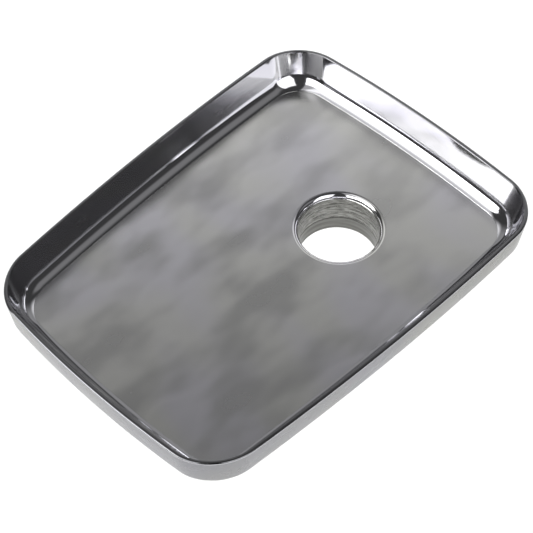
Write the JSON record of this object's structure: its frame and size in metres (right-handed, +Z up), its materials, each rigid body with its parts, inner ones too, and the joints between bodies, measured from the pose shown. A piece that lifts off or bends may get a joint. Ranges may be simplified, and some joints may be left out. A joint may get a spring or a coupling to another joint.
{
  "type": "meat mincer feed tray",
  "caption": "Shallow polished aluminium feed tray with rounded corners and an off-centre round throat, with a sleeved neck under it for a meat mincer.",
  "frame": {"origin": "on the neck's axis, in the plane of the tray's flat underside", "axes": "+X along the tray towards its wide end, +Y across the tray, +Z up along the neck's axis, out of the open side of the tray"},
  "size_m": [0.292, 0.2178, 0.0558],
  "materials": {
    "polished_tray": "polished",
    "turned_sleeve": "turned",
    "dressed_weld": "satin"
  },
  "bodies": {
    "root": {"tray_pan": "polished_tray", "neck_sleeve": "turned_sleeve", "weld_bead": "dressed_weld"}
  },
  "joints": []
}
